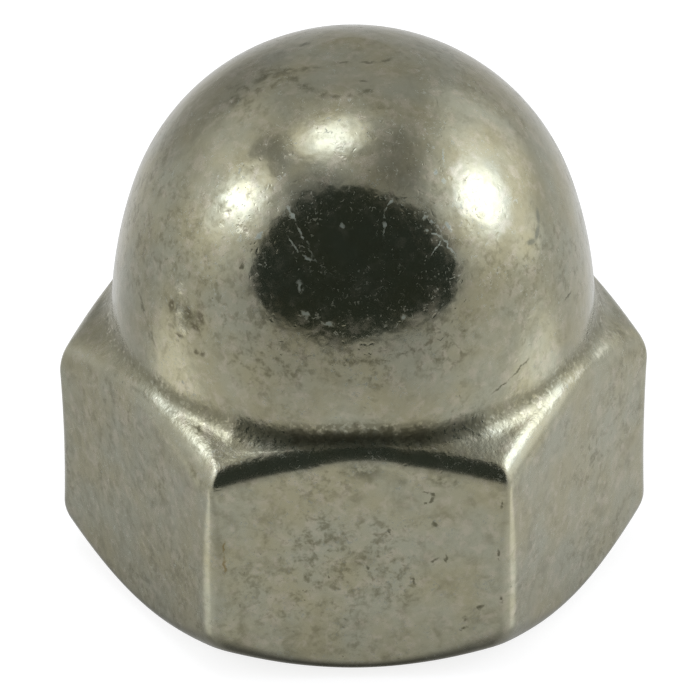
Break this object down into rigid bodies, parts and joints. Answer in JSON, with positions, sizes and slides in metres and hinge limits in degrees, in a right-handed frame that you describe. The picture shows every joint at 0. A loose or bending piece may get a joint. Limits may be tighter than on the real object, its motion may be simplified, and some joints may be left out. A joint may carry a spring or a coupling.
{
  "type": "cap nut",
  "caption": "Hexagonal cap nut with a closed domed top over a blind internal thread, chamfered above and below.",
  "frame": {"origin": "centre of the flat annular seat that bears on the work", "axes": "+Z along the thread's axis, up through the dome; one flat of the hexagon faces -Y and one pair of corners lies along X"},
  "size_m": [0.0184, 0.016, 0.0174],
  "materials": {
    "steel": "cold-formed stainless steel, tumbled and handled: satin, lightly pitted and scratched"
  },
  "bodies": {
    "root": {"cap_nut": "steel"}
  },
  "joints": []
}
